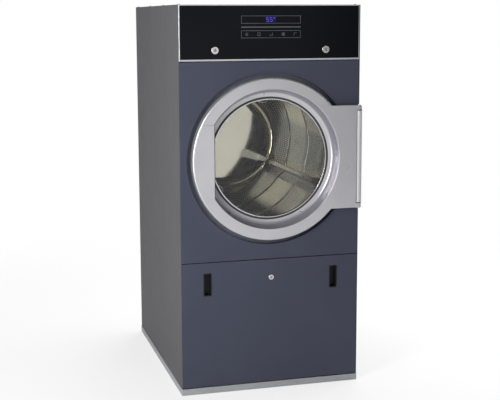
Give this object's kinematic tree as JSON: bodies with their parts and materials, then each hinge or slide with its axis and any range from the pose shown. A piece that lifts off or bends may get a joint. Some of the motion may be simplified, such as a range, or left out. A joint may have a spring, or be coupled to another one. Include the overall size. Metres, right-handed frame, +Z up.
{
  "type": "tumble dryer",
  "caption": "Front-loading laundry tumble dryer with a sheet-metal cabinet, round glazed door, drum, belt drive, blower, pull-out lint drawer and tilting control fascia.",
  "frame": {"origin": "on the floor, under the middle of the cabinet", "axes": "+Z up, -Y out of the front with the door, +X to the hinge side of the door"},
  "size_m": [0.819, 1.1345, 1.697],
  "materials": {
    "plinth_grey": "satin",
    "side_grey": "satin",
    "front_blue_grey": "satin",
    "galvanised": "satin",
    "black_plastic": "matte",
    "zinc": "satin",
    "felt": "matte",
    "cast_grey": "matte",
    "motor_grey": "satin",
    "belt_rubber": "matte",
    "stainless": "polished",
    "magnet_black": "matte",
    "door_silver": "satin",
    "door_back_grey": "satin",
    "door_glass": "polished",
    "black_gloss": "gloss",
    "wheel_grey": "satin",
    "nickel": "polished"
  },
  "bodies": {
    "cabinet": {"base_pan": "plinth_grey", "side_panel_left": "side_grey", "side_panel_right": "side_grey", "front_panel": "front_blue_grey", "front_crossbar": "galvanised", "top_panel": "side_grey", "rear_panel": "galvanised", "rear_cover": "galvanised", "exhaust_collar": "galvanised", "cable_gland": "black_plastic", "cover_screws": "zinc", "door_surround": "front_blue_grey", "felt_seal": "felt", "front_bulkhead": "galvanised", "rear_bulkhead": "galvanised", "drum_casing": "galvanised", "bearing_housing": "cast_grey", "drum_bearings": "zinc", "drive_motor": "motor_grey", "drive_belt": "belt_rubber", "heater_box": "galvanised", "heater_elements": "stainless", "blower_housing": "galvanised", "blower_motor": "motor_grey", "electrics_box": "galvanised", "fascia_pivots": "zinc", "hinge_post": "door_silver", "door_magnet": "magnet_black", "drawer_rails": "galvanised"},
    "door": {"door_ring": "door_silver", "door_back": "door_back_grey", "door_gasket": "belt_rubber", "door_glass": "door_glass", "glass_seal": "belt_rubber", "glass_trim": "stainless", "handle_plate": "door_silver", "hinge_plate": "door_silver", "hinge_pin": "zinc", "door_striker": "zinc"},
    "drum": {"drum_shell": "stainless", "drum_back": "stainless", "drum_lifters": "stainless", "drum_spider": "zinc", "drum_shaft": "zinc", "drum_pulley": "cast_grey"},
    "motor_rotor": {"motor_pulley": "zinc"},
    "blower_rotor": {"blower_wheel": "wheel_grey"},
    "fascia": {"fascia_frame": "door_silver", "fascia_panel": "black_gloss", "control_board": "black_plastic", "lock_bezels": "nickel"},
    "fascia_lock_left": {"cam_lock_left": "nickel"},
    "fascia_lock_right": {"cam_lock_right": "nickel"},
    "lint_drawer": {"drawer_front": "front_blue_grey", "drawer_frame": "galvanised", "lint_screen": "stainless", "pull_cup_left": "black_plastic", "pull_cup_right": "black_plastic", "drawer_lock_bezel": "nickel"},
    "drawer_lock_plug": {"drawer_lock": "nickel"}
  },
  "joints": [
    {"name": "door_hinge", "type": "hinge", "parent": "cabinet", "child": "door", "pos_m": [0.398, -0.537, 1.032], "axis": [0, 0, 1], "range_deg": [0, 170]},
    {"name": "drum_spin", "type": "hinge", "parent": "cabinet", "child": "drum", "pos_m": [0, 0, 1.032], "axis": [0, 1, 0], "continuous": true},
    {"name": "motor_spin", "type": "hinge", "parent": "cabinet", "child": "motor_rotor", "pos_m": [-0.27, 0.4375, 0.705], "axis": [0, 1, 0], "continuous": true},
    {"name": "blower_spin", "type": "hinge", "parent": "cabinet", "child": "blower_rotor", "pos_m": [0, 0.3, 0.23], "axis": [1, 0, 0], "continuous": true},
    {"name": "fascia_hinge", "type": "hinge", "parent": "cabinet", "child": "fascia", "pos_m": [0, -0.5085, 1.687], "axis": [-1, 0, 0], "range_deg": [0, 80]},
    {"name": "left_lock_turn", "type": "hinge", "parent": "fascia", "child": "fascia_lock_left", "pos_m": [-0.247, -0.52, 1.503], "axis": [0, 1, 0], "range_deg": [0, 90]},
    {"name": "right_lock_turn", "type": "hinge", "parent": "fascia", "child": "fascia_lock_right", "pos_m": [0.247, -0.52, 1.503], "axis": [0, -1, 0], "range_deg": [0, 90]},
    {"name": "drawer_slide", "type": "slide", "parent": "cabinet", "child": "lint_drawer", "axis": [0, -1, 0], "range_m": [0, 0.4]},
    {"name": "drawer_lock_turn", "type": "hinge", "parent": "lint_drawer", "child": "drawer_lock_plug", "pos_m": [0, -0.52, 0.508], "axis": [0, -1, 0], "range_deg": [0, 90]}
  ],
  "couplings": [
    {"joint": "motor_spin", "follows": "drum_spin", "ratio": 6.6162}
  ]
}
